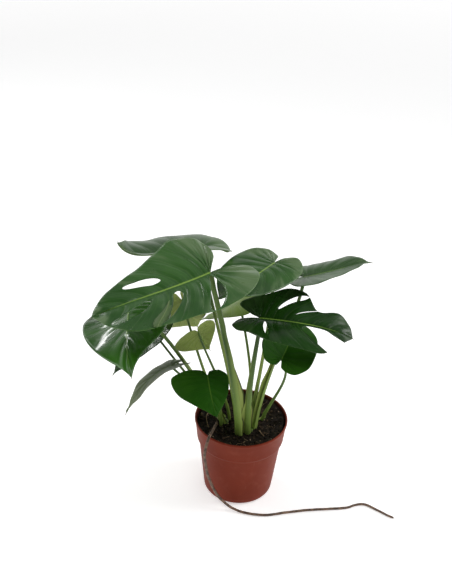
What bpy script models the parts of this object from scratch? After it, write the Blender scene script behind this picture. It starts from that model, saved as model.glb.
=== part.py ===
"""A young Swiss cheese plant (Monstera) in a 17 cm nursery pot.

Thirteen leaves on their own stalks rise from three short stems rooted in a
plug of soil. One aerial root climbs over the rim, hangs down beside the pot
and trails along the surface to the right. Metres, +Z up, the pot's flat
underside at the origin.
"""

from dataclasses import dataclass
from math import atan2, cos, hypot, pi, radians, sin, sqrt

import bmesh
import bpy
from mathutils import Matrix, Vector

MM = 0.001
GAP = 0.0003  # clearance between two pieces that touch

# Driving dimensions of the pot and its soil.
RIM_RADIUS = 0.085
POT_HEIGHT = 0.156
COLLAR_RADIUS = 0.0800  # outer radius at the collar's lower edge
COLLAR_HEIGHT = 0.042
NECK_RADIUS = 0.0765  # body just below the collar
BASE_RADIUS = 0.0635
WALL = 0.0022
HOLE_RADIUS = 0.0045
HOLE_RING = 0.042
HOLE_COUNT = 8
SOIL_LEVEL = 0.1440
STEM_TOP = 0.1465
STEM_DEPTH = 0.030
ROOT_RADIUS = 0.0024
BLADE_THICKNESS = 0.0008
POT_SEGMENTS = 56
STRIP_ROWS = 4  # rows of faces from midrib to margin

COLOURS = {
    "pot": (0.279, 0.066, 0.038),
    "soil": (0.022, 0.014, 0.010),
    "stem": (0.180, 0.230, 0.080),
    "petiole": (0.140, 0.230, 0.060),
    "leaf": (0.035, 0.110, 0.022),
    "root": (0.085, 0.052, 0.028),
    "dead_root": (0.330, 0.210, 0.110),
}


# --- Leaf outlines ---------------------------------------------------------
# Half an outline from the notch at the stalk, round the basal lobe, to the
# tip. x is in lobe lengths behind the stalk and blade lengths ahead of it,
# y is in half widths.
HEART = (
    (0, 0), (-0.62, 0.07), (-0.96, 0.33), (-0.86, 0.68), (-0.34, 0.95), (0.12, 1.0),
    (0.38, 0.86), (0.62, 0.57), (0.82, 0.25), (0.94, 0.07), (1, 0),
)
BROAD_FAR = (
    (0, 0), (-0.35, 0.25), (-0.42, 0.55), (-0.3, 0.85), (0.06, 1.0), (0.22, 0.88),
    (0.42, 0.66), (0.62, 0.46), (0.8, 0.32), (0.92, 0.17), (1, 0),
)
BROAD_NEAR = (
    (0, 0), (-0.65, 0.05), (-1, 0.28), (-0.85, 0.68), (-0.25, 0.95), (0.18, 1.0),
    (0.42, 0.98), (0.62, 0.93), (0.84, 0.76), (0.95, 0.45), (1, 0),
)
SLOPED = (
    (0, 0), (-0.62, 0.04), (-1, 0.1), (-0.96, 0.26), (-0.5, 0.52), (0, 0.78),
    (0.25, 0.96), (0.5, 0.92), (0.76, 0.66), (0.92, 0.3), (1, 0),
)
CUT_FAR = (
    (0, 0), (-0.35, 0.08), (-0.97, 0.4), (-0.6, 0.64), (0, 0.74), (0.22, 1.02),
    (0.42, 0.97), (0.58, 0.45), (0.8, 0.54), (0.93, 0.3), (1, 0),
)
CUT_NEAR = (
    (0, 0), (-0.67, 0.08), (-1, 0.46), (-0.8, 0.64), (-0.25, 0.72), (0.15, 0.94),
    (0.4, 1.01), (0.7, 1.05), (0.83, 0.84), (0.93, 0.38), (1, 0),
)
LAST = 10  # the outline's parameter runs from 0 at the notch to LAST at the tip
FIRST = 1  # the notch's edge is one straight vein, so the mesh starts here


@dataclass
class Slit:
    """A natural opening between two veins; end 1 opens it to the margin."""

    side: int  # 1 is the left half, looking from stalk to tip, -1 the right
    vein: float
    start: float
    end: float = 1.0
    width: float = 0.2
    drift: float = 0.5
    mouth: float = 1.0


@dataclass
class Leaf:
    """One leaf: sizes in mm, angles in degrees."""

    name: str
    attach: tuple  # where the stalk meets the blade
    heading: float
    pitch: float
    roll: float
    length: float
    left: float
    right: float
    lobe: float
    droop: float = 10
    tip_curl: float = 10
    lobe_droop: float = 8
    fold: float = 5
    arch_left: float = 15
    arch_right: float = 15
    taper: float = 1.0
    notch: float = 1.0
    outline_left: tuple = HEART
    outline_right: tuple = HEART
    slits: tuple = ()


LEAVES = (
    Leaf("a", (-65, -47, 485), 214, -8, -8, 216, 91, 102, 64, -14, 21, 7, 14, 15, 23,
         outline_left=BROAD_NEAR, outline_right=BROAD_FAR,
         slits=(Slit(-1, 7.05, 0.3, 0.79, 0.43, 1.2), Slit(1, 4.55, 0.07, 0.96, 0.38, 0.65),
                Slit(1, 6.8, 0.14, 1.0, 0.32, 0.6, 0.3), Slit(1, 8.05, 0.13, 0.95, 0.3, 1.05))),
    Leaf("b", (-82, 85, 458), 188.6, 0.3, 14.7, 158, 63, 87, 48, 30, -104, 26, 24, 24, 41, 0.75, 0.5,
         outline_right=SLOPED),
    Leaf("c", (42, 29, 466), 232, -3, 8, 149, 54, 74, 33, 5, -18, -6, 1, 35, -3, 0.77, 1.3),
    Leaf("d", (96, 49, 429), 3, 12, -5, 118, 75, 64, 30, -15, 21, 0, 17, 62, 9, 0.8, 1.05),
    Leaf("e", (21, -40, 397), -13, 5, 6, 159, 65, 58, 41, 10, 20, 3, 17, -2, 42,
         outline_left=CUT_FAR, outline_right=CUT_NEAR,
         slits=(Slit(1, 5.65, 0.27, 1.0, 0.19, 0.85, 0.3), Slit(1, 6.75, 0.36, 1.0, 0.06, 0.4),
                Slit(-1, 4.95, 0.13, 0.75, 0.17, 0.2), Slit(-1, 8.0, 0.09, 1.0, 0.68, 0.25))),
    Leaf("f", (61, -64, 332), 69, 15, 26, 128, 52, 55, 28, 28, 25, 2, 24, -4, -19, 0.9, 1.3),
    Leaf("g", (-63, -80, 303), -80, -18, -9, 99, 36, 63, 15, -19, -4, 12, 0, 1, 31, 1.08, 1.5),
    Leaf("h", (-128, -30, 284), 208.6, -9.2, 19.4, 115, 45, 38, 29, 57, -13, 18, 4, -20, 20),
    Leaf("i", (-199.4, -35, 405.4), -87.8, 4, 25.7, 179.6, 71.2, 84.6, 40.6, 12, 28, 13, -13.7, 33, -31),
    Leaf("j", (-84, 9, 332), 58, -57, -62, 58, 49, 33, 18, 15, 6, 14, 3, 6, 10),
    Leaf("k", (-115, 50, 370), 54.7, -60.5, -47.1, 102, 55, 46, 35, -10, 4, 3, -5, 42, 0),
    Leaf("l", (-13, 115, 337), 215, -25, 32, 84, 62, 60, 35, -16, -12, 11, 2, 39, 11),
    Leaf("m", (-165, 12, 329), 228, -27, 9, 105, 43, 43, 36, 2, 3, 17, 8, 0, 11),
)

# Stalks: foot on the stem, two handles of the curve, radius at foot and top.
STALKS = {
    "a": ((-3, -34), (-12, -36, 280), (-50, -43, 409), 6.2, 4.4),
    "b": ((-6, -18), (-19, -6, 269), (-74, 43, 385), 3.6, 2.6),
    "c": ((16, -4), (32, 25, 251), (47, 40, 379), 3.4, 2.5),
    "d": ((23, -17), (38, 33, 251), (97, 72, 335), 4.2, 3.0),
    "e": ((13, -30), (4, -30, 251), (23, -35, 349), 5.0, 3.4),
    "f": ((37, 8), (53, -13, 217), (89, -42, 280), 3.0, 2.1),
    "g": ((-36, -12), (-39, -20, 208), (-52, -53, 271), 2.8, 2.0),
    "h": ((-38, 4), (-48, -1, 199), (-98, -22, 242), 2.8, 2.0),
    "i": ((-29, -5), (-69, -16, 218), (-136, -26, 366), 3.8, 2.8),
    "j": ((-20, 6), (-30, 6, 217), (-70, 6, 284), 2.6, 1.9),
    "k": ((-29, 4), (-65, 7, 217), (-96, 30, 312), 2.8, 2.1),
    "l": ((8, -14), (29, 1, 222), (-1, 63, 297), 3.0, 2.2),
    "m": ((-26, 12), (-64, 5, 184), (-123, 8, 269), 2.8, 2.0),
}
STALK_POINTS = 14

# Stems: centre and the two half widths of the flat top, in mm.
STEMS = {"stem_1": (8, -19, 25, 22), "stem_2": (-29, 1, 14, 18), "stem_3": (38, 10, 9, 11)}
STEM_ROOTS = {"stem_1": 5, "stem_2": 3, "stem_3": 2}

# The aerial root's course in mm; the last stretch lies on the surface.
AERIAL_ROOT = (
    (-44, -9, 138), (-44, -10, 146), (-45, -20, 151), (-49, -40, 156.5), (-54, -60, 160.5),
    (-58, -74, 158.5), (-62, -82, 145), (-63, -83, 127), (-60, -83, 104), (-56, -81, 82),
    (-48, -78, 56), (-39, -78, 36), (-27, -80, 21), (-10, -82, 7.5), (12, -88, 2.6),
    (37, -92, 2.4), (60, -91, 2.4), (86, -84, 2.3), (131, -74, 2.2), (174, -68, 2.2),
    (204, -63, 2.1), (218, -56, 2.1), (231, -52, 2.0), (243, -54, 2.0), (261, -66, 1.9),
    (279, -79, 1.8), (291, -85, 1.7),
)


# --- Helpers ---------------------------------------------------------------
def clear_scene():
    for obj in list(bpy.data.objects):
        bpy.data.objects.remove(obj, do_unlink=True)


def material(name, colour, roughness):
    mat = bpy.data.materials.new(name)
    mat.use_nodes = True
    shader = mat.node_tree.nodes["Principled BSDF"]
    shader.inputs["Base Color"].default_value = (*colour, 1.0)
    shader.inputs["Roughness"].default_value = roughness
    shader.inputs["Metallic"].default_value = 0.0
    return mat


def add_object(name, data, mat):
    obj = bpy.data.objects.new(name, data)
    bpy.context.scene.collection.objects.link(obj)
    data.materials.append(mat)
    return obj


def mesh_object(name, bm, mat, smooth_angle=35):
    bmesh.ops.recalc_face_normals(bm, faces=bm.faces)
    mesh = bpy.data.meshes.new(name)
    bm.to_mesh(mesh)
    bm.free()
    mesh.shade_smooth()
    mesh.set_sharp_from_angle(angle=radians(smooth_angle))
    return add_object(name, mesh, mat)


def smooth_path(points, steps):
    """Points along a Catmull-Rom curve through the given ones."""
    pts = [Vector(p) for p in points]
    pts = [2 * pts[0] - pts[1], *pts, 2 * pts[-1] - pts[-2]]
    path = []
    for i in range(1, len(pts) - 2):
        a, b, c, d = pts[i - 1:i + 3]
        for k in range(steps):
            t = k / steps
            path.append(0.5 * (2 * b + (c - a) * t + (2 * a - 5 * b + 4 * c - d) * t ** 2
                               + (3 * b - a - 3 * c + d) * t ** 3))
    path.append(pts[-2])
    return path


def tube(name, path, radii, mat, sides=2):
    """A tube through path with a radius at each point and filled ends."""
    curve = bpy.data.curves.new(name, "CURVE")
    curve.dimensions = "3D"
    curve.bevel_depth = 1.0
    curve.bevel_resolution = sides
    curve.use_fill_caps = True
    spline = curve.splines.new("POLY")
    spline.points.add(len(path) - 1)
    for point, place, radius in zip(spline.points, path, radii):
        point.co = (*place, 1.0)
        point.radius = radius
    spline.use_smooth = True
    return add_object(name, curve, mat)


def subtract(target, cutter, name):
    cutter.hide_render = True
    cutter.display_type = "WIRE"
    cutter.hide_viewport = False
    mod = target.modifiers.new(name, "BOOLEAN")
    mod.operation = "DIFFERENCE"
    mod.solver = "EXACT"
    mod.object = cutter


def lathe(profile, segments):
    """A closed turned solid from (radius, height) pairs, axis to axis."""
    bm = bmesh.new()
    rings = []
    for radius, height in profile:
        if radius == 0:
            rings.append([bm.verts.new((0, 0, height))])
            continue
        ring = []
        for i in range(segments):
            a = 2 * pi * i / segments
            ring.append(bm.verts.new((radius * cos(a), radius * sin(a), height)))
        rings.append(ring)
    for low, high in zip(rings, rings[1:]):
        for i in range(segments):
            j = (i + 1) % segments
            corners = [low[i % len(low)], low[j % len(low)], high[j % len(high)], high[i % len(high)]]
            bm.faces.new(list(dict.fromkeys(corners)))
    return bm


# --- Pot -------------------------------------------------------------------
def wall_radius(z):
    """Outer radius of the pot's body below the collar."""
    return BASE_RADIUS + (NECK_RADIUS - BASE_RADIUS) * z / (POT_HEIGHT - COLLAR_HEIGHT)


def inner_radius(z):
    """Inner radius of the wall, which steps out behind the collar."""
    collar_z = POT_HEIGHT - COLLAR_HEIGHT
    if z < collar_z:
        return wall_radius(z) - WALL
    rise = (z - collar_z) / COLLAR_HEIGHT
    start = NECK_RADIUS - WALL
    return start + (RIM_RADIUS - 0.0012 - WALL - start) * rise


def build_pot(mat):
    collar_z = POT_HEIGHT - COLLAR_HEIGHT
    floor = 0.0025
    profile = [
        (0, 0), (BASE_RADIUS - 0.003, 0), (BASE_RADIUS - 0.0008, 0.0008), (BASE_RADIUS, 0.003),
        (wall_radius(collar_z - 0.003), collar_z - 0.003), (COLLAR_RADIUS - 0.0006, collar_z),
        (COLLAR_RADIUS, collar_z + 0.0008), (RIM_RADIUS - 0.0012, POT_HEIGHT - 0.005),
        (RIM_RADIUS, POT_HEIGHT - 0.004), (RIM_RADIUS, POT_HEIGHT - 0.0012),
        (RIM_RADIUS - 0.0010, POT_HEIGHT), (RIM_RADIUS - 0.0026, POT_HEIGHT),
        (inner_radius(POT_HEIGHT) - 0.0002, POT_HEIGHT - 0.0012),
        (inner_radius(collar_z), collar_z), (inner_radius(0.006), 0.006),
        (inner_radius(0.006) - 0.003, floor), (0, floor),
    ]
    pot = mesh_object("pot", lathe(profile, POT_SEGMENTS), mat)
    holes = bmesh.new()
    for i in range(HOLE_COUNT):
        angle = 2 * pi * (i + 0.5) / HOLE_COUNT
        place = Matrix.Translation((HOLE_RING * cos(angle), HOLE_RING * sin(angle), floor / 2))
        bmesh.ops.create_cone(holes, cap_ends=True, segments=12, radius1=HOLE_RADIUS,
                              radius2=HOLE_RADIUS, depth=3 * floor, matrix=place)
    subtract(pot, mesh_object("drain_cutter", holes, mat), "drain holes")
    return pot


# --- Soil ------------------------------------------------------------------
def soil_height(x, y):
    """Gently lumpy surface, slightly mounded round the stems."""
    ripple = sin(190 * x + 1.3) * cos(230 * y) + 0.7 * sin(410 * y + 150 * x)
    mound = 0.0015 * (1 - (hypot(x, y) / RIM_RADIUS) ** 2)
    return SOIL_LEVEL - 0.001 + mound + 0.0005 * ripple


def build_soil(mat):
    segments = 32
    clear = 0.0006
    bm = bmesh.new()
    top_radius = inner_radius(SOIL_LEVEL - 0.003) - clear
    rings = [[bm.verts.new((0, 0, soil_height(0, 0)))]]
    for share in (0.2, 0.4, 0.6, 0.8, 0.95, 1.0):
        ring = []
        for i in range(segments):
            a = 2 * pi * i / segments
            x, y = top_radius * share * cos(a), top_radius * share * sin(a)
            z = soil_height(x, y) - (0.0025 if share == 1.0 else 0)
            ring.append(bm.verts.new((x, y, z)))
        rings.append(ring)
    collar_z = POT_HEIGHT - COLLAR_HEIGHT
    for radius, z in ((inner_radius(collar_z) - clear, collar_z), (inner_radius(0.007) - clear, 0.007),
                      (inner_radius(0.007) - 0.0035, 0.0028)):
        rings.append([bm.verts.new((radius * cos(2 * pi * i / segments),
                                    radius * sin(2 * pi * i / segments), z))
                      for i in range(segments)])
    rings.append([bm.verts.new((0, 0, 0.0028))])
    for low, high in zip(rings, rings[1:]):
        for i in range(segments):
            j = (i + 1) % segments
            corners = [low[i % len(low)], low[j % len(low)], high[j % len(high)], high[i % len(high)]]
            bm.faces.new(list(dict.fromkeys(corners)))
    return mesh_object("soil", bm, mat, 60)


# --- Stems and their roots -------------------------------------------------
def stem_mesh(centre_x, centre_y, half_x, half_y, roots, grow):
    """A short stem tapering down into thick roots, grown outward by grow."""
    segments = 20
    bm = bmesh.new()
    rings = []
    levels = ((1.0, STEM_TOP + grow * 8), (1.04, STEM_TOP - 0.004), (0.9, STEM_TOP - 0.015),
              (0.5, STEM_TOP - STEM_DEPTH - grow))
    for share, z in levels:
        ring = []
        for i in range(segments):
            a = 2 * pi * i / segments
            ring.append(bm.verts.new((centre_x + (half_x * share + grow) * cos(a),
                                      centre_y + (half_y * share + grow) * sin(a), z)))
        rings.append(ring)
    for high, low in zip(rings, rings[1:]):
        for i in range(segments):
            j = (i + 1) % segments
            bm.faces.new((high[i], high[j], low[j], low[i]))
    bm.faces.new(rings[0])
    bm.faces.new(rings[-1][::-1])
    bmesh.ops.recalc_face_normals(bm, faces=bm.faces)
    return bm


def root_mesh(centre_x, centre_y, reach, angle, grow):
    """One thick root running down and outward from under a stem."""
    sides = 8
    bm = bmesh.new()
    start_z, steps = STEM_TOP - STEM_DEPTH + 0.006, 6
    rings = []
    for k in range(steps + 1):
        t = k / steps
        out = 0.004 + reach * t ** 1.4
        z = start_z - 0.075 * t - (grow if k == steps else 0)
        x = centre_x + out * cos(angle + 0.5 * t)
        y = centre_y + out * sin(angle + 0.5 * t)
        radius = 0.0028 - 0.0014 * t + grow
        rings.append([bm.verts.new((x + radius * cos(2 * pi * i / sides),
                                    y + radius * sin(2 * pi * i / sides), z))
                      for i in range(sides)])
    for high, low in zip(rings, rings[1:]):
        for i in range(sides):
            j = (i + 1) % sides
            bm.faces.new((high[i], high[j], low[j], low[i]))
    bm.faces.new(rings[0])
    bm.faces.new(rings[-1][::-1])
    bmesh.ops.recalc_face_normals(bm, faces=bm.faces)
    return bm


def stem_solid(name, mat, grow=0.0):
    cx, cy, hx, hy = (v * MM for v in STEMS[name])
    obj = mesh_object(name, stem_mesh(cx, cy, hx, hy, STEM_ROOTS[name], grow), mat)
    count = STEM_ROOTS[name]
    for i in range(count):
        angle = 2 * pi * (i + 0.3) / count + atan2(cy, cx)
        helper = mesh_object(f"{name}_root_{i}", root_mesh(cx, cy, 0.016, angle, grow), mat)
        helper.hide_render = True
        helper.display_type = "WIRE"
        join = obj.modifiers.new(f"root {i}", "BOOLEAN")
        join.operation = "UNION"
        join.solver = "EXACT"
        join.object = helper
    return obj


# --- Leaves ----------------------------------------------------------------
def margin_point(leaf, side, u):
    """Point of the half outline at parameter u, in metres, flat."""
    outline = leaf.outline_left if side > 0 else leaf.outline_right
    half_width = (leaf.left if side > 0 else leaf.right) * MM
    pts = []
    for i, (x, y) in enumerate(outline):
        px = x * leaf.lobe * MM if x < 0 else leaf.length * MM * x ** leaf.taper
        py = y * half_width * (leaf.notch if i in (1, 2) else 1.0)
        pts.append(Vector((px, py)))
    pts = [2 * pts[0] - pts[1], *pts, 2 * pts[-1] - pts[-2]]
    i = min(int(u), LAST - 1)
    t = u - i
    a, b, c, d = pts[i:i + 4]
    return 0.5 * (2 * b + (c - a) * t + (2 * a - 5 * b + 4 * c - d) * t ** 2
                  + (3 * b - a - 3 * c + d) * t ** 3)


def flat_point(leaf, side, u, s):
    """Point at share s of the way along vein u from the midrib outward."""
    edge = margin_point(leaf, side, u)
    root = leaf.length * MM * max(0.0, (u - 4) / 6) ** 1.5
    sweep = 0.5 * min(1.0, max(0.0, (u - 3) / 2))
    x = root + (edge.x - root) * s ** (1 + sweep)
    y = edge.y * s ** (1 - 0.35 * sweep)
    return x, side * y


def bend(leaf, x, y):
    """Carry a flat point onto the drooping, folded and arched blade."""
    length, lobe = leaf.length * MM, leaf.lobe * MM
    if x >= 0:
        steps = 12
        share, px, pz, slope = min(1.0, x / length), 0.0, 0.0, 0.0
        for k in range(steps):
            t = share * (k + 0.5) / steps
            slope = radians(leaf.droop) * t + radians(leaf.tip_curl) * t ** 4
            px += cos(slope) * share * length / steps
            pz -= sin(slope) * share * length / steps
        slope = radians(leaf.droop) * share + radians(leaf.tip_curl) * share ** 4
    else:
        bow = radians(leaf.lobe_droop) / lobe or 1e-6
        px, pz = -sin(-x * bow) / bow, -(1 - cos(-x * bow)) / bow
        slope = x * bow
    half_width = (leaf.left if y > 0 else leaf.right) * MM
    arch = radians(leaf.arch_left if y > 0 else leaf.arch_right) or 1e-4
    fold = radians(leaf.fold)
    turn = fold - arch * abs(y) / half_width
    across = half_width / arch * (sin(fold) - sin(turn))
    lift = half_width / arch * (cos(turn) - cos(fold))
    return Vector((px + lift * sin(slope), across if y > 0 else -across, pz + lift * cos(slope)))


def leaf_matrix(leaf):
    turn = (Matrix.Rotation(radians(leaf.heading), 4, "Z") @ Matrix.Rotation(radians(-leaf.pitch), 4, "Y")
            @ Matrix.Rotation(radians(leaf.roll), 4, "X"))
    return Matrix.Translation(Vector(leaf.attach) * MM) @ turn


def opening(slit, s):
    """Half width of a slit, in outline parameter, at share s."""
    if s <= slit.start or s > slit.end:
        return 0.0
    if slit.end < 1.0:
        q = (s - slit.start) / (slit.end - slit.start)
        return slit.width * 2 * sqrt(max(0.0, q * (1 - q)))
    q = min(1.0, (s - slit.start) / 0.25)
    close = (1 - slit.mouth) * max(0.0, (s - 0.72) / 0.28) ** 2
    return slit.width * sqrt(q * (2 - q)) * (1 - close)


def row_shares(slits):
    """Shares from midrib to margin at which the strips have a row of points."""
    fixed = {0.0, 1.0} | {slit.start for slit in slits} | {slit.end for slit in slits}
    spare = [k / STRIP_ROWS for k in range(1, STRIP_ROWS)]
    return sorted(fixed | {s for s in spare if min(abs(s - f) for f in fixed) > 0.06})


def strip_edge(slit, side, s, facing):
    """Outline parameter of a strip's edge along a slit, or along a plain vein."""
    if slit.side != side:
        return slit.vein
    return slit.vein + slit.drift * max(0.0, s - slit.start) + facing * opening(slit, s)


def half_blade(bm, leaf, side):
    """Strips of faces between slits. Both halves share the midrib's points."""
    slits = sorted(leaf.slits, key=lambda slit: slit.vein)
    shares = row_shares([slit for slit in slits if slit.side == side])
    for before, after in zip([None, *slits], [*slits, None]):
        first = before.vein if before else FIRST
        last = after.vein if after else LAST
        columns = max(1, round((last - first) * 1.3))
        grid = []
        for s in shares:
            low = strip_edge(before, side, s, 1) if before else FIRST
            high = strip_edge(after, side, s, -1) if after else LAST
            row = []
            for c in range(columns + 1):
                u = min(LAST, low + (high - low) * c / columns)
                row.append(bm.verts.new(bend(leaf, *flat_point(leaf, side, u, s))))
            grid.append(row)
        for lower, upper in zip(grid, grid[1:]):
            for c in range(columns):
                corners = (lower[c], lower[c + 1], upper[c + 1], upper[c])
                bm.faces.new(corners if side > 0 else corners[::-1])


def build_blade(leaf, mat):
    bm = bmesh.new()
    half_blade(bm, leaf, 1)
    half_blade(bm, leaf, -1)
    bmesh.ops.remove_doubles(bm, verts=bm.verts, dist=0.00005)
    bmesh.ops.dissolve_degenerate(bm, edges=bm.edges, dist=0.00005)
    bmesh.ops.transform(bm, matrix=leaf_matrix(leaf), verts=bm.verts)
    bmesh.ops.recalc_face_normals(bm, faces=bm.faces)
    obj = mesh_object(f"blade_{leaf.name}", bm, mat, 60)
    shell = obj.modifiers.new("thickness", "SOLIDIFY")
    shell.thickness = BLADE_THICKNESS
    shell.offset = 0.0
    shell.use_rim = True
    return obj


def build_stalk(leaf, mat):
    """The stalk ends just under the blade, clear of it."""
    foot, low, high, foot_radius, top_radius = STALKS[leaf.name]
    start = Vector((foot[0] * MM, foot[1] * MM, STEM_TOP + GAP))
    normal = leaf_matrix(leaf).to_3x3() @ Vector((0, 0, 1))
    handle_low, handle_high = Vector(low) * MM, Vector(high) * MM
    attach = Vector(leaf.attach) * MM
    arrival = (attach - handle_high).normalized()
    lean = sqrt(max(0.0, 1 - arrival.dot(normal) ** 2))
    side = 1 if arrival.dot(normal) > 0 else -1
    clear = BLADE_THICKNESS / 2 + GAP + top_radius * MM * lean + 0.0004
    end = attach - side * normal * clear
    path, radii = [start], [foot_radius * MM]
    start = start + Vector((0, 0, 0.003))
    for k in range(STALK_POINTS):
        t = k / (STALK_POINTS - 1)
        path.append((1 - t) ** 3 * start + 3 * (1 - t) ** 2 * t * handle_low
                    + 3 * (1 - t) * t ** 2 * handle_high + t ** 3 * end)
        radii.append((foot_radius + (top_radius - foot_radius) * t ** 0.8) * MM)
    return tube(f"petiole_{leaf.name}", path, radii, mat)


# --- Assembly --------------------------------------------------------------
def build_aerial_root(mat):
    path = smooth_path([Vector(p) * MM for p in AERIAL_ROOT], 3)
    count = len(path) - 1
    radii = [ROOT_RADIUS * (1 - 0.3 * (i / count)) for i in range(count + 1)]
    radii[-1] *= 0.35
    radii[-2] *= 0.75
    path = [Vector((p.x, p.y, max(p.z, r + 0.0001))) for p, r in zip(path, radii)]
    return tube("aerial_root", path, radii, mat)


def surface_root(name, points, radius, mat):
    """A thin dry root lying just clear of the soil's lumps."""
    path = [Vector((x * MM, y * MM, SOIL_LEVEL + lift * MM)) for x, y, lift in points]
    path = smooth_path(path, 3)
    return tube(name, path, [radius] * len(path), mat)


def build():
    clear_scene()
    mats = {name: material(name, colour, 0.55) for name, colour in COLOURS.items()}
    mats["soil"].node_tree.nodes["Principled BSDF"].inputs["Roughness"].default_value = 0.95
    mats["leaf"].node_tree.nodes["Principled BSDF"].inputs["Roughness"].default_value = 0.35
    build_pot(mats["pot"])
    soil = build_soil(mats["soil"])
    for name in STEMS:
        stem_solid(name, mats["stem"])
        pocket = stem_solid(name, mats["soil"], GAP)
        pocket.name = f"{name}_pocket"
        subtract(soil, pocket, name)
    pocket = bmesh.new()
    x, y = (v * MM for v in AERIAL_ROOT[0][:2])
    bmesh.ops.create_cone(pocket, cap_ends=True, segments=16, radius1=ROOT_RADIUS + 0.0009,
                          radius2=ROOT_RADIUS + 0.0009, depth=0.02,
                          matrix=Matrix.Translation((x, y, AERIAL_ROOT[0][2] * MM + 0.0097)))
    subtract(soil, mesh_object("root_pocket", pocket, mats["soil"]), "aerial root")
    for leaf in LEAVES:
        build_blade(leaf, mats["leaf"])
        build_stalk(leaf, mats["petiole"])
    sheath = ((42, 16, 146.8), (42, 16, 151), (45, 15, 162), (50, 12, 172))
    tube("cataphyll", smooth_path([Vector(p) * MM for p in sheath], 3),
         [0.0022 * (1 - 0.085 * i) for i in range(10)], mats["petiole"])
    build_aerial_root(mats["root"])
    surface_root("dead_root", ((-62, 17, 2.2), (-64, 4, 3.2), (-62, -10, 3.0), (-58, -25, 2.2)),
                 0.0008, mats["dead_root"])
    surface_root("twig", ((33, -27, 3.4), (37, -34, 3.0), (42, -42, 2.6)), 0.0008, mats["dead_root"])


build()
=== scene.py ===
"""Looks of the potted Swiss cheese plant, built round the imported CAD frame.

Blades, stalks, pot, soil and roots are rebuilt at full detail in the places
that the CAD gives them. Values that MM scales are millimetres, and all other
lengths are metres. Angles in tables are degrees.
"""

from dataclasses import dataclass
from math import atan2, cos, pi, radians, sin

import bmesh
import bpy
import numpy as np
from mathutils import Matrix, Vector, noise

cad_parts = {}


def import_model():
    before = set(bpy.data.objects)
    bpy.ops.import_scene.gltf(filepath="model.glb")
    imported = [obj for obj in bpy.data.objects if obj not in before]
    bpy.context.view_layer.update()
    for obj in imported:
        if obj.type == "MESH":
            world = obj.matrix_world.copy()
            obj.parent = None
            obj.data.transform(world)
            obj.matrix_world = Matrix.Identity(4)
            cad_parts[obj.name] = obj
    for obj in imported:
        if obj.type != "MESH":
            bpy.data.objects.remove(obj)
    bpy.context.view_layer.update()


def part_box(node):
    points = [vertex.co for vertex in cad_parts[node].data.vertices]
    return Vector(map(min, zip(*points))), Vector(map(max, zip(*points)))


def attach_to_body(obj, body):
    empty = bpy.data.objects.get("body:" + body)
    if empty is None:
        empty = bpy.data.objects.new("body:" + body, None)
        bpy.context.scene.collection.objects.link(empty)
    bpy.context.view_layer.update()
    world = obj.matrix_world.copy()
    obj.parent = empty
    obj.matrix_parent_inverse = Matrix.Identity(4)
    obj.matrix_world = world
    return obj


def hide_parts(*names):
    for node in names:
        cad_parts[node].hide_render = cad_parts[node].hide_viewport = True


MM = 0.001


# --- Leaves: the same design as the CAD blades ------------------------------
HEART = (
    (0, 0), (-0.62, 0.07), (-0.96, 0.33), (-0.86, 0.68), (-0.34, 0.95), (0.12, 1.0),
    (0.38, 0.86), (0.62, 0.57), (0.82, 0.25), (0.94, 0.07), (1, 0),
)
BROAD_FAR = (
    (0, 0), (-0.35, 0.25), (-0.42, 0.55), (-0.3, 0.85), (0.06, 1.0), (0.22, 0.88),
    (0.42, 0.66), (0.62, 0.46), (0.8, 0.32), (0.92, 0.17), (1, 0),
)
BROAD_NEAR = (
    (0, 0), (-0.65, 0.05), (-1, 0.28), (-0.85, 0.68), (-0.25, 0.95), (0.18, 1.0),
    (0.42, 0.98), (0.62, 0.93), (0.84, 0.76), (0.95, 0.45), (1, 0),
)
SLOPED = (
    (0, 0), (-0.62, 0.04), (-1, 0.1), (-0.96, 0.26), (-0.5, 0.52), (0, 0.78),
    (0.25, 0.96), (0.5, 0.92), (0.76, 0.66), (0.92, 0.3), (1, 0),
)
CUT_FAR = (
    (0, 0), (-0.35, 0.08), (-0.97, 0.4), (-0.6, 0.64), (0, 0.74), (0.22, 1.02),
    (0.42, 0.97), (0.58, 0.45), (0.8, 0.54), (0.93, 0.3), (1, 0),
)
CUT_NEAR = (
    (0, 0), (-0.67, 0.08), (-1, 0.46), (-0.8, 0.64), (-0.25, 0.72), (0.15, 0.94),
    (0.4, 1.01), (0.7, 1.05), (0.83, 0.84), (0.93, 0.38), (1, 0),
)
FIRST, LAST = 1, 10  # the outline's parameter at the notch's edge and at the tip


@dataclass
class Slit:
    """A natural opening between two veins; end 1 opens it to the margin."""

    side: int
    vein: float
    start: float
    end: float = 1.0
    width: float = 0.2
    drift: float = 0.5
    mouth: float = 1.0


@dataclass
class Leaf:
    """One leaf: sizes in mm, angles in degrees."""

    name: str
    attach: tuple
    heading: float
    pitch: float
    roll: float
    length: float
    left: float
    right: float
    lobe: float
    droop: float = 10
    tip_curl: float = 10
    lobe_droop: float = 8
    fold: float = 5
    arch_left: float = 15
    arch_right: float = 15
    taper: float = 1.0
    notch: float = 1.0
    outline_left: tuple = HEART
    outline_right: tuple = HEART
    slits: tuple = ()
    tone: str = "deep"
    wave: float = 1.5
    seed: float = 0.0
    quilt: float = 1.0


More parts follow.
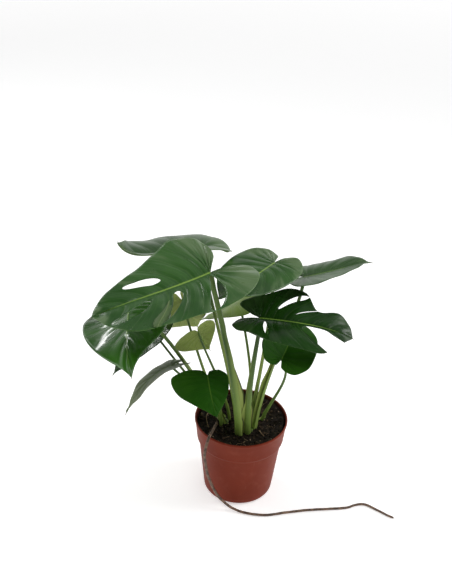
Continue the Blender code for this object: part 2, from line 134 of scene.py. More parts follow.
LEAVES = (
    Leaf("a", (-65, -47, 485), 214, -8, -8, 216, 91, 102, 64, -14, 21, 7, 14, 15, 23,
         outline_left=BROAD_NEAR, outline_right=BROAD_FAR, tone="fresh", wave=2.0, quilt=1.7,
         slits=(Slit(-1, 7.05, 0.3, 0.79, 0.43, 1.2), Slit(1, 4.55, 0.07, 0.985, 0.38, 0.65),
                Slit(1, 6.8, 0.14, 1.0, 0.32, 0.6, 0.15), Slit(1, 8.05, 0.13, 0.95, 0.3, 1.05))),
    Leaf("b", (-82, 85, 458), 188.6, 0.3, 14.7, 158, 63, 87, 48, 30, -104, 26, 24, 24, 41, 0.75, 0.5,
         outline_right=SLOPED, tone="satin", seed=1.7),
    Leaf("c", (42, 29, 466), 232, -3, 8, 149, 54, 74, 33, 5, -18, -6, 1, 35, -3, 0.77, 1.3,
         tone="fresh", seed=2.3, wave=1.0),
    Leaf("d", (96, 49, 429), 3, 12, -5, 118, 75, 64, 30, -15, 21, 0, 17, 62, 9, 0.8, 1.05,
         tone="satin", seed=3.1),
    Leaf("e", (21, -40, 397), -13, 5, 6, 159, 65, 58, 41, 10, 20, 3, 17, -2, 42,
         outline_left=CUT_FAR, outline_right=CUT_NEAR, seed=4.4,
         slits=(Slit(1, 5.65, 0.27, 1.0, 0.19, 0.85, 0.1), Slit(1, 6.75, 0.36, 1.0, 0.03, 0.4),
                Slit(-1, 4.95, 0.13, 0.75, 0.17, 0.2), Slit(-1, 8.0, 0.09, 1.0, 0.68, 0.25))),
    Leaf("f", (61, -64, 332), 69, 15, 26, 128, 52, 55, 28, 28, 25, 2, 24, -4, -19, 0.9, 1.3,
         tone="shade", seed=5.2, wave=0.8),
    Leaf("g", (-63, -80, 303), -80, -18, -9, 99, 36, 63, 15, -19, -4, 12, 0, 1, 31, 1.08, 1.5,
         tone="shade", seed=6.6, wave=0.8),
    Leaf("h", (-128, -30, 284), 208.6, -9.2, 19.4, 115, 45, 38, 29, 57, -13, 18, 4, -20, 20,
         tone="painted_grey_sheen", seed=7.1),
    Leaf("i", (-199.4, -35, 405.4), -87.8, 4, 25.7, 179.6, 71.2, 84.6, 40.6, 12, 28, 13, -13.7, 33, -31,
         tone="gloss", seed=8.8),
    Leaf("j", (-84, 9, 332), 58, -57, -62, 58, 49, 33, 18, 15, 6, 14, 3, 6, 10, seed=9.3,
         tone="young", wave=0.8),
    Leaf("k", (-115, 50, 370), 54.7, -60.5, -47.1, 102, 55, 46, 35, -10, 4, 3, -5, 42, 0, seed=10.4,
         tone="young"),
    Leaf("l", (-13, 115, 337), 215, -25, 32, 84, 62, 60, 35, -16, -12, 11, 2, 39, 11, seed=11.9,
         tone="young"),
    Leaf("m", (-165, 12, 329), 228, -27, 9, 105, 43, 43, 36, 2, 3, 17, 8, 0, 11, seed=12.2),
)

# Drawn-out blade points: length in mm and curl in degrees, where not the usual.
DRIP_TIPS = {
    "a": (7.0, 40), "b": (6.0, 60), "d": (9.0, 130),
    "e": (10.0, 100), "h": (7.0, 50), "j": (6.0, 70),
}
USUAL_DRIP_TIP = (4.5, 35)

# Stalks: foot on the stem, two handles of the curve, radius at foot and top,
# and how far up its sheath reaches, as a share of the stalk's length.
STALKS = {
    "a": ((-3, -34), (-12, -36, 280), (-50, -43, 409), 7.6, 4.4, 0.62),
    "b": ((-6, -18), (-19, -6, 269), (-74, 43, 385), 4.2, 2.6, 0.3),
    "c": ((16, -4), (32, 25, 251), (47, 40, 379), 4.0, 2.5, 0.3),
    "d": ((23, -17), (38, 33, 251), (97, 72, 335), 6.0, 3.0, 0.5),
    "e": ((13, -30), (4, -30, 251), (23, -35, 349), 6.6, 3.4, 0.5),
    "f": ((37, 8), (53, -13, 217), (89, -42, 280), 3.2, 2.1, 0.25),
    "g": ((-36, -12), (-39, -20, 208), (-52, -53, 271), 3.4, 2.0, 0.3),
    "h": ((-38, 4), (-48, -1, 199), (-98, -22, 242), 3.4, 2.0, 0.35),
    "i": ((-29, -5), (-69, -16, 218), (-136, -26, 366), 4.8, 2.8, 0.35),
    "j": ((-20, 6), (-30, 6, 217), (-70, 6, 284), 3.2, 1.9, 0.3),
    "k": ((-29, 4), (-65, 7, 217), (-96, 30, 312), 3.4, 2.1, 0.3),
    "l": ((8, -14), (29, 1, 222), (-1, 63, 297), 3.4, 2.2, 0.3),
    "m": ((-26, 12), (-64, 5, 184), (-123, 8, 269), 3.2, 2.0, 0.3),
}

# The aerial root's course in mm, the CAD's own points.
AERIAL_ROOT = (
    (-44, -9, 138), (-44, -10, 146), (-45, -20, 151), (-49, -40, 156.5), (-54, -60, 160.5),
    (-58, -74, 158.5), (-62, -82, 145), (-63, -83, 127), (-60, -83, 104), (-56, -81, 82),
    (-48, -78, 56), (-39, -78, 36), (-27, -80, 21), (-10, -82, 7.5), (12, -88, 2.6),
    (37, -92, 2.4), (60, -91, 2.4), (86, -84, 2.3), (131, -74, 2.2), (174, -68, 2.2),
    (204, -63, 2.1), (218, -56, 2.1), (231, -52, 2.0), (243, -54, 2.0), (261, -66, 1.9),
    (279, -79, 1.8), (291, -85, 1.7),
)

ROWS = 26  # rows of faces from midrib to margin
COLUMNS = 8  # columns of faces for each unit of the outline's parameter
BEND_STEPS = 96  # steps along the midrib when its course is added up
HALF_THICKNESS = 0.00034
MIDRIB_ABOVE, MIDRIB_BELOW = 0.0003, 0.0016  # how far it stands out of the blade
STALK_RINGS = 56
FLOOR_GAP = 0.0001  # between the trailing root and the floor
SOIL_LEVEL = 0.1440
SOIL_LUMPS, SOIL_GRAIN, SOIL_BANK = 0.0022, 0.0009, 0.0085  # heights
CRUMBS = 900
FIBRES = 36


# --- Node helper -------------------------------------------------------------
class Graph:
    """A short way to write a material's nodes."""

    def __init__(self, name):
        self.material = bpy.data.materials.new(name)
        self.material.use_nodes = True
        self.tree = self.material.node_tree
        self.shader = self.tree.nodes["Principled BSDF"]

    def node(self, kind, **values):
        made = self.tree.nodes.new(kind)
        for key, value in values.items():
            setattr(made, key, value)
        return made

    def plug(self, socket, value):
        if isinstance(value, bpy.types.NodeSocket):
            self.tree.links.new(value, socket)
        else:
            socket.default_value = value

    def set(self, name, value):
        self.plug(self.shader.inputs[name], value)

    def math(self, operation, a, b=0.0, c=0.0):
        made = self.node("ShaderNodeMath", operation=operation)
        for socket, value in zip(made.inputs, (a, b, c)):
            self.plug(socket, value)
        return made.outputs[0]

    def ramp(self, value, low, high, start=0.0, end=1.0):
        """A smooth step of value from low..high to start..end."""
        made = self.node("ShaderNodeMapRange", interpolation_type="SMOOTHSTEP")
        for socket, number in zip(made.inputs, (value, low, high, start, end)):
            self.plug(socket, number)
        return made.outputs[0]

    def mix(self, factor, a, b):
        made = self.node("ShaderNodeMix", data_type="RGBA")
        self.plug(made.inputs[0], factor)
        self.plug(made.inputs[6], a if isinstance(a, bpy.types.NodeSocket) else (*a, 1))
        self.plug(made.inputs[7], b if isinstance(b, bpy.types.NodeSocket) else (*b, 1))
        return made.outputs[2]

    def place(self, stretch=(1, 1, 1)):
        """Object coordinates, stretched."""
        coordinates = self.node("ShaderNodeTexCoord").outputs["Object"]
        mapping = self.node("ShaderNodeMapping")
        self.plug(mapping.inputs["Vector"], coordinates)
        mapping.inputs["Scale"].default_value = stretch
        return mapping.outputs[0]

    def noise(self, scale, detail=3.0, vector=None, distortion=0.0):
        made = self.node("ShaderNodeTexNoise")
        self.plug(made.inputs["Vector"], vector or self.place())
        made.inputs["Scale"].default_value = scale
        made.inputs["Detail"].default_value = detail
        made.inputs["Distortion"].default_value = distortion
        return made.outputs["Fac"]

    def attribute(self, name):
        return self.node("ShaderNodeAttribute", attribute_name=name).outputs["Fac"]

    def uv(self):
        split = self.node("ShaderNodeSeparateXYZ")
        self.plug(split.inputs[0], self.node("ShaderNodeUVMap", uv_map="form").outputs[0])
        return split.outputs[0], split.outputs[1]

    def bump(self, height, strength, distance):
        made = self.node("ShaderNodeBump")
        made.inputs["Strength"].default_value = strength
        made.inputs["Distance"].default_value = distance
        self.plug(made.inputs["Height"], height)
        self.set("Normal", made.outputs[0])


# --- Materials ---------------------------------------------------------------
@dataclass
class Tone:
    """A blade's upper side: colours, gloss, how strongly its marks show, and how strongly painted sheen is
    laid into its colour.
    """

    dark: tuple
    light: tuple
    vein: tuple
    roughness: float
    specular: float
    coat: float
    midrib: float
    veins: float
    painted_sheen: float


# The last value of each tone is the strength of its painted sheen.
TONES = {
    "fresh": Tone((0.010, 0.058, 0.004), (0.030, 0.108, 0.012), (0.085, 0.190, 0.030),
                  0.30, 0.42, 0.0, 1.0, 0.16, 0.85),
    "satin": Tone((0.020, 0.062, 0.012), (0.038, 0.096, 0.022), (0.085, 0.165, 0.045),
                  0.34, 0.50, 0.0, 0.5, 0.20, 0.50),
    "deep": Tone((0.002, 0.017, 0.0012), (0.011, 0.054, 0.004), (0.045, 0.120, 0.014),
                 0.26, 0.27, 0.05, 0.8, 0.22, 0.20),
    "gloss": Tone((0.008, 0.050, 0.002), (0.028, 0.120, 0.006), (0.060, 0.170, 0.014),
                  0.22, 0.12, 0.45, 0.5, 0.20, 0.0),
    "shade": Tone((0.010, 0.060, 0.003), (0.030, 0.110, 0.008), (0.050, 0.140, 0.016),
                  0.45, 0.03, 0.0, 0.25, 0.10, 0.0),
    # Painted sheen: a grey-green colour stands in for the grey reflection on leaf h, seen almost edge-on.
    "painted_grey_sheen": Tone((0.070, 0.105, 0.042), (0.120, 0.155, 0.074), (0.160, 0.200, 0.095),
                 0.50, 0.20, 0.0, 0.4, 0.20, 0.0),
    "young": Tone((0.110, 0.190, 0.030), (0.180, 0.270, 0.050), (0.280, 0.380, 0.100),
                  0.45, 0.20, 0.0, 0.7, 0.40, 0.0),
}
# Colour of the painted sheen, a grey-green reflection laid into the blade's colour.
PAINTED_SHEEN_COLOUR = (0.110, 0.178, 0.075)
UNDERSIDES = {
    "leaf": ((0.060, 0.110, 0.034), (0.100, 0.165, 0.055), (0.170, 0.235, 0.085)),
    "young": ((0.200, 0.270, 0.060), (0.310, 0.380, 0.100), (0.400, 0.470, 0.170)),
    # Painted shade: the shaded leaves' undersides take a dark green like their upper side instead of the
    # paler underside colour.
    "shade": ((0.014, 0.064, 0.004), (0.034, 0.112, 0.010), (0.060, 0.150, 0.020)),
}
RIB_COLOUR = (0.200, 0.340, 0.050)
VEIN_GAP = 0.82  # the outline's parameter from one side vein to the next
FINE_VEIN_GAP = 0.205


def vein_lines(g, across, share, gap, width):
    """1 on the veins that run from midrib to margin every gap of the outline."""
    turn = g.math("DIVIDE", across, gap)
    away = g.math("ABSOLUTE", g.math("SUBTRACT", g.math("FRACT", turn), 0.5))
    near = g.math("MULTIPLY", g.math("SUBTRACT", 0.5, away), gap)
    spread = g.math("MULTIPLY", near, g.math("ADD", share, 0.25))
    return g.ramp(spread, 0.0, width, 1.0, 0.0)


def painted_sheen_mask(g, across, share):
    """Painted sheen: a grey-green reflection painted on the lobes and outer blade, in streaks along the
    veins.
    """
    lobes = g.ramp(across, 5.8, 2.4)
    outer = g.ramp(share, 0.15, 0.85)
    place = g.node("ShaderNodeCombineXYZ")
    g.plug(place.inputs[0], g.math("MULTIPLY", across, 1.9))
    g.plug(place.inputs[1], g.math("MULTIPLY", share, 0.8))
    g.plug(place.inputs[2], g.math("MULTIPLY", g.noise(5, 1), 4.0))
    streaks = g.noise(1.0, 3, place.outputs[0], 0.4)
    total = g.math("MULTIPLY_ADD", lobes, 0.55, g.math("MULTIPLY", outer, 0.45))
    total = g.math("ADD", total, g.math("MULTIPLY", g.math("SUBTRACT", streaks, 0.5), 2.0))
    return g.ramp(total, 0.30, 0.95)


def leaf_material(name, tone, under):
    g = Graph(name)
    look = TONES[tone]
    if under:
        dark, light, vein = UNDERSIDES.get(tone, UNDERSIDES["leaf"])
        look = Tone(dark, light, vein, 0.55, 0.2, 0.0, 0.8, 0.6, 0.0)
    across, share = g.uv()
    across = g.math("ADD", across, g.math("MULTIPLY", g.noise(18, 2), 0.25))
    rib = g.attribute("rib")
    main = vein_lines(g, across, share, VEIN_GAP, 0.030)
    fine = vein_lines(g, across, share, FINE_VEIN_GAP, 0.020)
    patches = g.ramp(g.noise(9, 4, distortion=0.6), 0.3, 0.7)
    base = g.mix(patches, look.dark, look.light)
    # Painted shade: broad dark bands along the sunken main veins, strongest near the midrib.
    painted_trough_shade = vein_lines(g, across, share, VEIN_GAP, 0.16)
    painted_trough_shade = g.math("MULTIPLY", painted_trough_shade, g.ramp(share, 0.0, 0.8, 0.55, 0.15))
    base = g.mix(painted_trough_shade, base, look.dark)
    between = g.math("MULTIPLY", g.math("SUBTRACT", 1.0, main), g.noise(60, 3))
    base = g.mix(g.math("MULTIPLY", between, 0.25), base, look.light)
    # Painted sheen: grey-green reflection mixed into the blade's colour on the lobes and outer blade.
    if look.painted_sheen > 0:
        base = g.mix(g.math("MULTIPLY", painted_sheen_mask(g, across, share), look.painted_sheen), base, PAINTED_SHEEN_COLOUR)
    base = g.mix(g.math("MULTIPLY", fine, 0.10 if not under else 0.22), base, look.vein)
    base = g.mix(g.math("MULTIPLY", main, look.veins), base, look.vein)
    base = g.mix(g.ramp(rib, 0.15, 0.75, 0.0, look.midrib), base, RIB_COLOUR)
    edge = g.ramp(share, 0.982, 0.998)
    base = g.mix(g.math("MULTIPLY", edge, 0.45), base, look.vein)
    g.set("Base Color", base)
    mottled = g.math("MULTIPLY_ADD", g.noise(35, 4), 0.16, look.roughness - 0.08)
    g.set("Roughness", mottled)
    g.set("Specular IOR Level", look.specular)
    g.set("Coat Weight", look.coat)
    g.set("Coat Roughness", 0.10)
    height = g.math("MULTIPLY_ADD", main, 0.9 if under else -0.9, g.math("MULTIPLY", fine, 0.25))
    height = g.math("ADD", height, g.math("MULTIPLY", g.noise(240, 3), 0.35))
    height = g.math("ADD", height, g.math("MULTIPLY", g.noise(900, 2), 0.12))
    g.bump(height, 0.55, 0.0006)
    return g.material


def stalk_material():
    g = Graph("stalk")
    around, along = g.uv()
    channel = g.ramp(g.math("ABSOLUTE", g.math("SUBTRACT", around, 0.5)), 0.10, 0.34, 1.0, 0.0)
    pale = g.math("MULTIPLY", channel, g.ramp(along, 0.35, 0.75, 1.0, 0.0))
    streaks = g.noise(60, 4, g.place((1, 1, 0.06)))
    green = g.mix(g.ramp(streaks, 0.3, 0.7), (0.040, 0.085, 0.018), (0.095, 0.160, 0.036))
    foot = g.mix(streaks, (0.140, 0.235, 0.036), (0.225, 0.335, 0.068))
    colour = g.mix(g.ramp(along, 0.0, 0.42, 0.85, 0.0), green, foot)
    colour = g.mix(g.math("MULTIPLY", pale, 0.75), colour, (0.340, 0.440, 0.110))
    specks = g.ramp(g.noise(420, 2), 0.62, 0.72)
    colour = g.mix(g.math("MULTIPLY", specks, 0.25), colour, (0.350, 0.420, 0.180))
    g.set("Base Color", colour)
    g.set("Roughness", g.math("MULTIPLY_ADD", g.noise(90, 3), 0.15, 0.30))
    g.set("Specular IOR Level", 0.18)
    g.bump(g.math("ADD", streaks, g.math("MULTIPLY", specks, 0.2)), 0.35, 0.0006)
    return g.material


def sheath_material():
    """Pale papery sheath with fine lines along it and a dry brown margin."""
    g = Graph("sheath")
    around = g.uv()[0]
    margin_near = g.math("ABSOLUTE", g.math("SUBTRACT", around, 0.5))
    lines = g.noise(240, 4, g.place((1, 1, 0.05)))
    colour = g.mix(lines, (0.240, 0.330, 0.055), (0.440, 0.520, 0.150))
    colour = g.mix(g.ramp(margin_near, 0.20, 0.48, 0.0, 0.60), colour, (0.090, 0.160, 0.030))
    colour = g.mix(g.ramp(margin_near, 0.035, 0.12, 0.92, 0.0), colour, (0.035, 0.042, 0.012))
    g.set("Base Color", colour)
    g.set("Roughness", g.math("MULTIPLY_ADD", g.noise(90, 3), 0.15, 0.36))
    g.set("Specular IOR Level", 0.2)
    g.bump(lines, 0.35, 0.0005)
    return g.material


def pot_material():
    g = Graph("pot_plastic")
    cloud = g.ramp(g.noise(11, 5, distortion=0.8), 0.3, 0.75)
    colour = g.mix(cloud, (0.165, 0.023, 0.009), (0.195, 0.030, 0.013))
    dust = g.math("MULTIPLY", g.ramp(g.noise(70, 6), 0.52, 0.72), 0.18)
    colour = g.mix(dust, colour, (0.270, 0.070, 0.042))
    scuffs = g.ramp(g.noise(140, 5, g.place((1, 1, 0.12)), 0.3), 0.66, 0.74)
    colour = g.mix(g.math("MULTIPLY", scuffs, 0.25), colour, (0.330, 0.115, 0.080))
    # Painted shade, with some soil dirt: the inside wall is darkened from just inside the rim down.
    level = g.uv()[1]
    soil_and_painted_shade = g.ramp(level, 18.5, 19.6, 0.0, 0.82)
    colour = g.mix(soil_and_painted_shade, colour, (0.022, 0.006, 0.004))
    g.set("Base Color", colour)
    g.set("Roughness", g.math("MULTIPLY_ADD", g.noise(26, 4), 0.14, 0.44))
    g.set("Specular IOR Level", 0.08)
    turned = g.noise(9, 2, g.place((0.2, 0.2, 60)))
    grain = g.math("MULTIPLY_ADD", g.noise(900, 3), 0.5, g.math("MULTIPLY", turned, 0.5))
    g.bump(grain, 0.22, 0.0004)
    return g.material


def soil_material():
    g = Graph("compost")
    tint = g.attribute("tint")
    dark = g.mix(g.noise(160, 5), (0.003, 0.0021, 0.0014), (0.024, 0.016, 0.010))
    colour = g.mix(g.ramp(tint, 0.55, 0.95), dark, (0.085, 0.056, 0.032))
    colour = g.mix(g.ramp(tint, 0.955, 0.985), colour, (0.420, 0.320, 0.220))
    g.set("Base Color", colour)
    g.set("Roughness", g.math("MULTIPLY_ADD", g.noise(300, 3), 0.3, 0.62))
    g.set("Specular IOR Level", 0.15)
    g.bump(g.noise(700, 6), 0.8, 0.0012)
    return g.material


def root_material(name, dark, light, rough):
    g = Graph(name)
    rings = g.noise(14, 3, g.place((9, 9, 9)), 1.2)
    colour = g.mix(g.ramp(g.noise(160, 5), 0.35, 0.68), dark, light)
    colour = g.mix(g.math("MULTIPLY", g.ramp(rings, 0.5, 0.7), 0.5), colour, dark)
    g.set("Base Color", colour)
    g.set("Roughness", rough)
    g.bump(g.math("ADD", g.noise(420, 5), g.math("MULTIPLY", rings, 0.6)), 0.6, 0.0005)
    return g.material


def floor_material():
    g = Graph("pale_floor")
    g.set("Base Color", g.mix(g.noise(0.8, 2), (0.88, 0.88, 0.88), (0.90, 0.90, 0.90)))
    g.set("Roughness", 0.8)
    g.set("Specular IOR Level", 0.1)
    g.set("Emission Color", (1, 1, 1, 1))
    away = g.node("ShaderNodeVectorMath", operation="LENGTH")
    g.plug(away.inputs[0], g.place())
    g.set("Emission Strength", g.ramp(away.outputs["Value"], 1.2, 5.0, 0.45, 0.72))
    return g.material


# --- Mesh building -----------------------------------------------------------
def new_piece(name, verts, faces, uvs, materials, slot, stands_for, face_slots=None, **fields):
    """A smooth mesh piece riding on the one body; uvs hold a pair per corner."""
    mesh = bpy.data.meshes.new(name)
    mesh.from_pydata([tuple(v) for v in verts], [], faces)
    layer = mesh.uv_layers.new(name="form")
    layer.data.foreach_set("uv", np.asarray([p for face in uvs for p in face], "f").ravel())
    for field, values in fields.items():
        mesh.attributes.new(field, "FLOAT", "POINT").data.foreach_set("value", np.asarray(values, "f"))
    for material in materials:
        mesh.materials.append(material)
    if face_slots is not None:
        mesh.polygons.foreach_set("material_index", np.asarray(face_slots, "i"))
    mesh.validate()
    mesh.shade_smooth()
    piece = bpy.data.objects.new(name, mesh)
    bpy.context.scene.collection.objects.link(piece)
    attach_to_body(piece, "root")
    if stands_for:
        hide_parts(*stands_for)
    return piece


def vertex_normals(verts, faces):
    normals = np.zeros_like(verts)
    for face in faces:
        a, b, c = verts[face[0]], verts[face[1]], verts[face[-1]]
        normals[face] += np.cross(b - a, c - a)
    lengths = np.linalg.norm(normals, axis=1, keepdims=True)
    return normals / np.maximum(lengths, 1e-12)


def smooth_path(points, steps):
    """Points along a Catmull-Rom curve through the given ones."""
    pts = [Vector(p) for p in points]
    pts = [2 * pts[0] - pts[1], *pts, 2 * pts[-1] - pts[-2]]
    path = []
    for i in range(1, len(pts) - 2):
        a, b, c, d = pts[i - 1:i + 3]
        for k in range(steps):
            t = k / steps
            path.append(0.5 * (2 * b + (c - a) * t + (2 * a - 5 * b + 4 * c - d) * t ** 2
                               + (3 * b - a - 3 * c + d) * t ** 3))
    path.append(pts[-2])
    return path


def sweep(path, section, inward):
    """Rings of a closed section(t) -> [(inward, sideways), ...] along path."""
    verts, faces, uvs = [], [], []
    count = len(path)
    for k, centre in enumerate(path):
        ahead = (path[min(k + 1, count - 1)] - path[max(k - 1, 0)]).normalized()
        inner = (inward - inward.dot(ahead) * ahead).normalized()
        side = ahead.cross(inner)
        verts.extend(centre + inner * a + side * b for a, b in section(k / (count - 1)))
    sides = len(verts) // count
    for k in range(count - 1):
        for i in range(sides):
            j = (i + 1) % sides
            faces.append((k * sides + i, k * sides + j, (k + 1) * sides + j, (k + 1) * sides + i))
            low, high = k / (count - 1), (k + 1) / (count - 1)
            near, far = i / sides, (i + 1) / sides
            uvs.append(((near, low), (far, low), (far, high), (near, high)))
    faces.append(tuple(range(sides))[::-1])
    uvs.append(tuple((i / sides, 0.0) for i in range(sides))[::-1])
    faces.append(tuple((count - 1) * sides + i for i in range(sides)))
    uvs.append(tuple((i / sides, 1.0) for i in range(sides)))
    return verts, faces, uvs


# --- Blades ------------------------------------------------------------------
def margin(leaf, side, u):
    outline = leaf.outline_left if side > 0 else leaf.outline_right
    width = leaf.left if side > 0 else leaf.right
    pts = []
    for i, (x, y) in enumerate(outline):
        px = x * leaf.lobe if x < 0 else leaf.length * x ** leaf.taper
        pts.append((px * MM, y * width * MM * (leaf.notch if i in (1, 2) else 1.0)))
    pts = np.array(pts)
    pts = np.vstack([2 * pts[0] - pts[1], pts, 2 * pts[-1] - pts[-2]])
    i = np.minimum(u.astype(int), LAST - 1)
    t = (u - i)[:, None]
    a, b, c, d = pts[i], pts[i + 1], pts[i + 2], pts[i + 3]
    return 0.5 * (2 * b + (c - a) * t + (2 * a - 5 * b + 4 * c - d) * t ** 2
                  + (3 * b - a - 3 * c + d) * t ** 3)


def flat_points(leaf, side, u, s):
    edge = margin(leaf, side, u)
    root = leaf.length * MM * np.maximum(0, (u - 4) / 6) ** 1.5
    sweep_back = 0.5 * np.clip((u - 3) / 2, 0, 1)
    x = root + (edge[:, 0] - root) * s ** (1 + sweep_back)
    y = edge[:, 1] * s ** (1 - 0.35 * sweep_back)
    return x, side * y


def bend(leaf, x, y):
    """Carry flat points onto the drooping, folded and arched blade."""
    length, lobe = leaf.length * MM, leaf.lobe * MM
    t = np.linspace(0, 1, BEND_STEPS + 1)
    slope = radians(leaf.droop) * t + radians(leaf.tip_curl) * t ** 4
    middle = (slope[1:] + slope[:-1]) / 2
    run = np.concatenate([[0], np.cumsum(np.cos(middle))]) * length / BEND_STEPS
    fall = np.concatenate([[0], np.cumsum(-np.sin(middle))]) * length / BEND_STEPS
    share = np.clip(x / length, 0, 1)
    bow = radians(leaf.lobe_droop) / lobe or 1e-6
    ahead = x >= 0
    px = np.where(ahead, np.interp(share, t, run), -np.sin(-x * bow) / bow)
    pz = np.where(ahead, np.interp(share, t, fall), -(1 - np.cos(-x * bow)) / bow)
    angle = np.where(ahead, np.interp(share, t, slope), x * bow)
    width = np.where(y > 0, leaf.left, leaf.right) * MM
    arch = np.radians(np.where(y > 0, leaf.arch_left, leaf.arch_right))
    arch = np.where(np.abs(arch) < 1e-4, 1e-4, arch)
    fold = radians(leaf.fold)
    turn = fold - arch * np.abs(y) / width
    across = width / arch * (sin(fold) - np.sin(turn))
    lift = width / arch * (np.cos(turn) - cos(fold))
    return np.stack([px + lift * np.sin(angle), np.sign(y) * across, pz + lift * np.cos(angle)], 1)


def leaf_matrix(leaf):
    turn = (Matrix.Rotation(radians(leaf.heading), 4, "Z") @ Matrix.Rotation(radians(-leaf.pitch), 4, "Y")
            @ Matrix.Rotation(radians(leaf.roll), 4, "X"))
    return Matrix.Translation(Vector(leaf.attach) * MM) @ turn


def opening(slit, s):
    """Half width of a slit, in outline parameter, at share s."""
    if slit.end < 1.0:
        q = np.clip((s - slit.start) / (slit.end - slit.start), 0, 1)
        return slit.width * 2 * np.sqrt(q * (1 - q))
    q = np.clip((s - slit.start) / 0.25, 0, 1)
    close = np.clip((s - 0.72) / 0.28, 0, 1) ** 2 * (1 - slit.mouth)
    return slit.width * np.sqrt(q * (2 - q)) * (1 - close)


def strip_edge(slit, side, s, facing):
    if slit is None:
        return np.full_like(s, FIRST if facing > 0 else LAST)
    if slit.side != side:
        return np.full_like(s, slit.vein)
    return slit.vein + slit.drift * np.maximum(0, s - slit.start) + facing * opening(slit, s)


def row_shares(slits):
    """Shares from midrib to margin, close together beside the midrib."""
    shares = set(round(float(v), 4) for v in np.linspace(0, 1, ROWS + 1) ** 1.45)
    for slit in slits:
        for end in (slit.start, slit.end):
            shares = {s for s in shares if abs(s - end) > 0.012 or s in (0.0, 1.0)} | {end}
        for step in (0.006, 0.02, 0.045):
            shares |= {round(slit.start + step, 4)}
            if slit.end < 1.0:
                shares |= {round(slit.end - step, 4)}
    return np.array(sorted(s for s in shares if s <= 1.0))


def relief(leaf, u, s, side):
    """Height of the quilting between veins and of the wavy margin."""
    quilt = np.abs(np.sin(pi * (u + 0.1 * np.sin(3 * s)) / VEIN_GAP)) ** 0.8 - 0.45
    size = min(1.0, leaf.length / 170)
    body = np.sin(pi * np.clip(s, 0, 1) ** 0.85) ** 0.8
    wave = np.sin(2.1 * u + leaf.seed + side) + 0.5 * np.sin(4.7 * u + 2 * leaf.seed)
    dip = -0.5 * np.exp(-(s / 0.05) ** 2)
    return MM * (1.7 * leaf.quilt * size * quilt * body + leaf.wave * size * wave * s ** 3 + size * dip)


def half_blade(leaf, side, store):
    """Adds one half's faces to store, welded by position."""
    slits = sorted(leaf.slits, key=lambda slit: slit.vein)
    shares = row_shares([slit for slit in slits if slit.side == side])
    for before, after in zip([None, *slits], [*slits, None]):
        first = before.vein if before else FIRST
        last = after.vein if after else LAST
        columns = max(2, round((last - first) * COLUMNS))
        low = strip_edge(before, side, shares, 1)
        high = strip_edge(after, side, shares, -1)
        mix = np.linspace(0, 1, columns + 1)
        u = np.minimum(low[:, None] + (high - low)[:, None] * mix, LAST)
        s = np.repeat(shares[:, None], columns + 1, axis=1)
        x, y = flat_points(leaf, side, u.ravel(), s.ravel())
        points = bend(leaf, x, y)
        height = relief(leaf, u.ravel(), s.ravel(), side)
        rib_width = 0.5 * MM + 0.006 * leaf.length * MM
        ribs = np.exp(-(y / rib_width) ** 2) * (x > -1 * MM)
        ribs *= np.clip(1.25 - x / (leaf.length * MM), 0, 1)
        index = np.empty(len(points), int)
        for n, point in enumerate(points):
            key = (round(x[n] * 2e4), round(y[n] * 2e4))
            if key not in store["keys"]:
                store["keys"][key] = len(store["verts"])
                store["verts"].append(point)
                store["height"].append(height[n])
                store["rib"].append(ribs[n])
            index[n] = store["keys"][key]
        index = index.reshape(u.shape)
        for r in range(len(shares) - 1):
            for c in range(columns):
                corners = ((r, c), (r, c + 1), (r + 1, c + 1), (r + 1, c))
                corners = corners if side > 0 else corners[::-1]
                face, uv = [], []
                for corner in corners:
                    if index[corner] not in face:
                        face.append(int(index[corner]))
                        uv.append((u[corner], s[corner]))
                if len(face) > 2:
                    store["faces"].append(face)
                    store["uvs"].append(uv)


def build_blade(leaf, materials, tip_bark):
    store = {"keys": {}, "verts": [], "height": [], "rib": [], "faces": [], "uvs": []}
    half_blade(leaf, 1, store)
    half_blade(leaf, -1, store)
    verts, faces, uvs = np.array(store["verts"]), store["faces"], store["uvs"]
    normals = vertex_normals(verts, faces)
    verts = verts + normals * np.array(store["height"])[:, None]
    normals = vertex_normals(verts, faces)
    rib = np.array(store["rib"])
    above = HALF_THICKNESS + MIDRIB_ABOVE * rib
    below = HALF_THICKNESS + MIDRIB_BELOW * rib
    count = len(verts)
    shell = np.vstack([verts + normals * above[:, None], verts - normals * below[:, None]])
    used = {}
    for face, uv in zip(faces, uvs):
        for n, a in enumerate(face):
            b = face[(n + 1) % len(face)]
            used[(a, b)] = (uv[n], uv[(n + 1) % len(face)])
    all_faces = [tuple(f) for f in faces] + [tuple(v + count for v in f[::-1]) for f in faces]
    all_uvs = list(uvs) + [uv[::-1] for uv in uvs]
    slots = [0] * len(faces) + [1] * len(faces)
    for (a, b), (ua, ub) in used.items():
        if (b, a) not in used:
            all_faces.append((b, a, a + count, b + count))
            all_uvs.append((ub, ua, ua, ub))
            slots.append(0)
    matrix = np.array(leaf_matrix(leaf))
    shell = shell @ matrix[:3, :3].T + matrix[:3, 3]
    ridge = {x: n for (x, y), n in store["keys"].items() if y == 0}
    end = max(ridge)
    before = max(x for x in ridge if x < end - 60)
    base, back = Vector(shell[ridge[end]]), Vector(shell[ridge[before]])
    under = -Vector(matrix[:3, :3] @ normals[ridge[end]])
    build_drip_tip(leaf, base, (base - back).normalized(), under, tip_bark)
    slot = "young_leaf" if leaf.tone == "young" else "leaf"
    new_piece(f"leaf_{leaf.name}", shell, all_faces, all_uvs, materials[leaf.tone], slot,
              [f"blade_{leaf.name}"], slots, rib=np.concatenate([rib, rib]))


